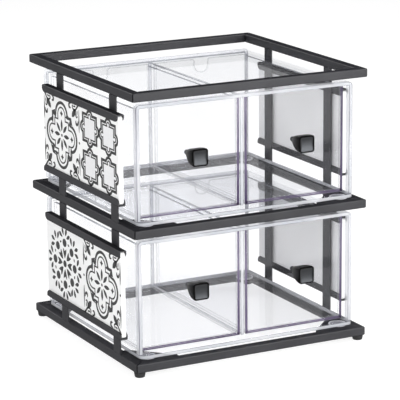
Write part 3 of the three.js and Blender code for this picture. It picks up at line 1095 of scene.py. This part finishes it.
def make_drawer_side(node):
    low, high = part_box(node)
    top = high.z - SIDE_DROP
    outline = offset(box(low.y, high.y, low.z, top), BOND_GAP)
    sheet = clear_sheet(outline, low.x, high.x, DRAWER_RIM, PALE).placed(along_x)
    # The top edge takes the grey painted shade of the rims, as a line
    sheet.change(PALE, RIM, lambda x, y, z: z > top - MM)
    piece(f"{node}_sheet", [sheet], DRAWER, node)


def make_drawer_floor(place):
    node = f"{place}_drawer_floor"
    low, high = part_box(node)
    outline = offset(box(low.x, high.x, low.y, high.y), BOND_GAP)
    sheet = clear_sheet(outline, low.z, high.z, DRAWER_RIM, PALE)
    piece(f"{node}_sheet", [sheet], DRAWER, node)


KNOB_FACE = 24 * MM
KNOB_CORNER = 4 * MM
KNOB_NECK = 8 * MM
KNOB_NECK_CORNER = 3 * MM
KNOB_EDGE = 1.3 * MM
KNOB_DISH = 1.9 * MM
# The face is deepest a little above its middle
KNOB_DEEPEST = 0.45
# The higher it is, the nearer to its left and right edges the face stays deep
KNOB_DISH_POWER = 12
# Rings of points on the sides, round the edge and on the face, and points on a straight side
KNOB_STEPS = 18
KNOB_EDGE_STEPS = 5
KNOB_FACE_STEPS = 16
KNOB_SIDE_STEPS = 10
# Above 1, the rings on the face lie closer together near its edge
KNOB_RING_POWER = 1.5
# Rings of faces inside the rim that are as matte as it is
KNOB_BORDER = 3


def knob_loop(half, corner, y, cx, cz):
    """Square with round corners, with points along its straight sides too."""
    corners = rounded_box(-half, half, -half, half, corner, 7)
    count = len(corners) // 4
    shares = [j / KNOB_SIDE_STEPS for j in range(1, KNOB_SIDE_STEPS)]
    points = []
    for i, (x, z) in enumerate(corners):
        points.append((x, z))
        if i % count == count - 1:
            next_x, next_z = corners[(i + 1) % len(corners)]
            points += [(x + (next_x - x) * t, z + (next_z - z) * t) for t in shares]
    return [(x + cx, y, z + cz) for x, z in points]


def dish_at(across, up):
    """Depth of the face at a place given in shares of its half-width and half-height."""
    reach = 1 + KNOB_DEEPEST if up < KNOB_DEEPEST else 1 - KNOB_DEEPEST
    depth = KNOB_DISH * (1 - ((up - KNOB_DEEPEST) / reach) ** 2)
    return depth * (1 - across ** KNOB_DISH_POWER)


def make_knob(place):
    """Slightly dished square face, on sides that swell out of a thin neck."""
    node = f"{place}_knob"
    low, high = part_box(node)
    cx, cz = knob_middle(place)
    face, neck = KNOB_FACE / 2, KNOB_NECK / 2
    shoulder = low.y + KNOB_EDGE
    loops = []
    for i in range(KNOB_STEPS):
        t = i / KNOB_STEPS
        swell = math.sin(t * math.pi / 2)
        half = neck + (face - neck) * swell
        corner = KNOB_NECK_CORNER + (KNOB_CORNER - KNOB_NECK_CORNER) * swell
        loops.append(knob_loop(half, corner, high.y + (shoulder - high.y) * t, cx, cz))
    for i in range(KNOB_EDGE_STEPS + 1):
        angle = math.pi / 2 * i / KNOB_EDGE_STEPS
        inset = KNOB_EDGE * (1 - math.cos(angle))
        y = shoulder - KNOB_EDGE * math.sin(angle)
        loops.append(knob_loop(face - inset, KNOB_CORNER - inset, y, cx, cz))
    flat = face - KNOB_EDGE
    for i in range(1, KNOB_FACE_STEPS):
        share = 1 - (i / KNOB_FACE_STEPS) ** KNOB_RING_POWER
        ring = knob_loop(flat * share, (KNOB_CORNER - KNOB_EDGE) * share, low.y, cx, cz)
        loops.append([(x, y + dish_at((x - cx) / flat, (z - cz) / flat), z) for x, y, z in ring])
    knob = loft(loops)
    around = len(loops[0])
    knob.mats = [KNOB_SIDE_MAT] * (KNOB_STEPS * around)
    knob.mats += [KNOB_RIM_MAT] * ((KNOB_EDGE_STEPS + KNOB_BORDER) * around)
    knob.mats += [KNOB_FACE_MAT] * (len(knob.faces) - len(knob.mats))
    piece(f"{place}_knob_moulding", [knob], KNOB, node)


SCREW_HEAD = 3.4 * MM
SCREW_HEIGHT = 1.5 * MM
# Reach and half-width of the cross's arms, as shares of the head's radius
SCREW_CROSS_REACH = 0.62
SCREW_CROSS_HALF = 0.17
# Height at which the crown begins, and how far its rim is rounded, as shares of the head's height
SCREW_CROWN_START = 0.45
SCREW_CROWN_ROUND = 0.3


def make_screw(place):
    """Pan-head screw with a cross recess, seated on the inner face of the drawer front."""
    cx, cz = knob_middle(place)
    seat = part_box(f"{place}_drawer_front")[1].y + BOND_GAP
    r, h = SCREW_HEAD, SCREW_HEIGHT
    reach, half = r * SCREW_CROSS_REACH, r * SCREW_CROSS_HALF
    cross = four_times([(reach, -half), (reach, half), (half, half)])
    outline = circle(0, 0, r, 28)
    crown_start = h * SCREW_CROWN_START
    base = slab(outline, 0, crown_start)
    crown = slab(outline, crown_start, h, h * SCREW_CROWN_ROUND, holes=(cross[::-1],))

    def on_sheet(u, v, w):
        return (cx + u, seat + w, cz + v)

    parts = [base.placed(on_sheet), crown.placed(on_sheet)]
    piece(f"{place}_knob_screw", parts, [PAINT], f"{place}_knob", main=False)


def make_drawer(place):
    make_drawer_front(place)
    make_drawer_back(place)
    for side in SIDES:
        make_drawer_side(f"{place}_drawer_{side}_side")
    make_drawer_floor(place)
    make_knob(place)
    make_screw(place)


# Camera

FOCAL_PIXELS = 2223.5692
IMAGE_PIXELS = 400
SENSOR_MM = 36.0
CLIP_END = 60
# The camera's place is given from the middle of the rings, whose front and rear faces fix it
CAMERA_FROM_RING = Vector((-1.4167071, -2.7347847, 0.9620553))
# In radians: turned to the right of the object's depth, looking down, and tilted
CAMERA_YAW = 0.4798
CAMERA_PITCH = 0.2458
CAMERA_ROLL = -0.009


def make_camera():
    low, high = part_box("bottom_ring")
    data = bpy.data.cameras.new("camera")
    data.sensor_width = SENSOR_MM
    data.lens = FOCAL_PIXELS / IMAGE_PIXELS * SENSOR_MM
    data.clip_end = CLIP_END
    camera = linked("camera", data)
    forward = Vector((math.sin(CAMERA_YAW), math.cos(CAMERA_YAW), 0))
    right = Vector((math.cos(CAMERA_YAW), -math.sin(CAMERA_YAW), 0))
    level_up = Vector((0, 0, 1))
    ahead = forward * math.cos(CAMERA_PITCH) - level_up * math.sin(CAMERA_PITCH)
    up = level_up * math.cos(CAMERA_PITCH) + forward * math.sin(CAMERA_PITCH)
    x_axis = right * math.cos(CAMERA_ROLL) + up * math.sin(CAMERA_ROLL)
    y_axis = -right * math.sin(CAMERA_ROLL) + up * math.cos(CAMERA_ROLL)
    middle = Vector(((low.x + high.x) / 2, (low.y + high.y) / 2, 0))
    turn = Matrix((x_axis, y_axis, -ahead)).transposed().to_4x4()
    camera.matrix_world = Matrix.Translation(middle + CAMERA_FROM_RING) @ turn
    bpy.context.scene.camera = camera


# Ground and light

GROUND_RADIUS = 14.0
GROUND_GREY = 0.94
# Share of the ground's look that is lit by the lamps, and so shaded by the object
GROUND_SHADE = 0.35
# With the shaded share, this makes the open ground white
GROUND_WHITE = 1.29
WORLD_AROUND = 0.62
WORLD_OVERHEAD = 0.25
SEEN_RAYS = ("Is Camera Ray", "Is Glossy Ray", "Is Transmission Ray")
LAMP_TARGET = Vector((0, 0, 0.2))
# Name, place, width and height, watts
LAMPS = (
    ("front_light", (1.05, -2.2, 0.62), (1.0, 0.9), 27),
    ("left_light", (-1.75, -1.8, 0.9), (1.2, 0.8), 28),
    ("top_light", (0.9, -0.4, 1.9), (0.9, 0.9), 18),
    ("rear_light", (-0.5, 2.1, 1.35), (1.2, 0.6), 16),
)


def make_ground():
    part = Part()
    part.face(part.add_loop([(x, y, 0.0) for x, y in circle(0, 0, GROUND_RADIUS, 64)]))
    mesh = bpy.data.meshes.new("floor")
    mesh.from_pydata(part.verts, [], part.faces)
    floor = linked("floor", mesh)
    material, graph = new_material("pale_floor")
    grey = (GROUND_GREY, GROUND_GREY, GROUND_GREY, 1)
    diffuse = graph.add("ShaderNodeBsdfDiffuse", {"Color": grey})["BSDF"]
    white = graph.add("ShaderNodeEmission", {
        "Color": (1, 1, 1, 1), "Strength": GROUND_WHITE,
    })["Emission"]
    share = graph.mapped(graph.any_ray(*SEEN_RAYS), 0.0, 1.0, 0.0, 1 - GROUND_SHADE)
    mesh.materials.append(finished(material, graph, graph.mix(share, diffuse, white)))


def make_world():
    """White where it is seen, while its light comes more from around than from overhead."""
    world = bpy.data.worlds.new("studio")
    bpy.context.scene.world = world
    graph = Graph(world)
    coords = graph.add("ShaderNodeTexCoord", {})["Generated"]
    height = graph.add("ShaderNodeSeparateXYZ", {"Vector": coords})["Z"]
    level = graph.mapped(height, 0.0, 1.0, WORLD_AROUND, WORLD_OVERHEAD)
    background = graph.add("ShaderNodeBackground", {
        "Color": (1, 1, 1, 1),
        "Strength": graph.math("MAXIMUM", level, graph.any_ray(*SEEN_RAYS)),
    })["Background"]
    graph.add("ShaderNodeOutputWorld", {"Surface": background})


def make_lamp(name, place, size, watts):
    data = bpy.data.lights.new(name, "AREA")
    data.shape = "RECTANGLE"
    data.size, data.size_y = size
    data.energy = watts
    lamp = linked(name, data)
    lamp.visible_camera = False
    lamp.location = place
    lamp.rotation_euler = (LAMP_TARGET - Vector(place)).to_track_quat("-Z", "Y").to_euler()


def make_studio():
    make_camera()
    make_ground()
    make_world()
    for lamp in LAMPS:
        make_lamp(*lamp)
    scene = bpy.context.scene
    scene.view_settings.view_transform = "Standard"
    # A line of sight crosses up to twenty clear faces
    scene.cycles.transparent_max_bounces = 48


make_studio()
for ring in ("top", "middle", "bottom"):
    make_ring(ring)
for end in ENDS:
    for side in SIDES:
        make_foot(f"{end}_{side}_foot")
for tier in TIERS:
    make_shell(tier)
    make_case_floor(tier)
    make_back(tier)
    make_divider(tier)
    for side in SIDES:
        for end in ENDS:
            make_upright(f"{tier}_{side}_{end}_upright")
        make_channel(f"{tier}_{side}_bottom_channel", False)
        make_channel(f"{tier}_{side}_top_channel", True)
        make_panel(tier, side)
        make_drawer(f"{tier}_{side}")
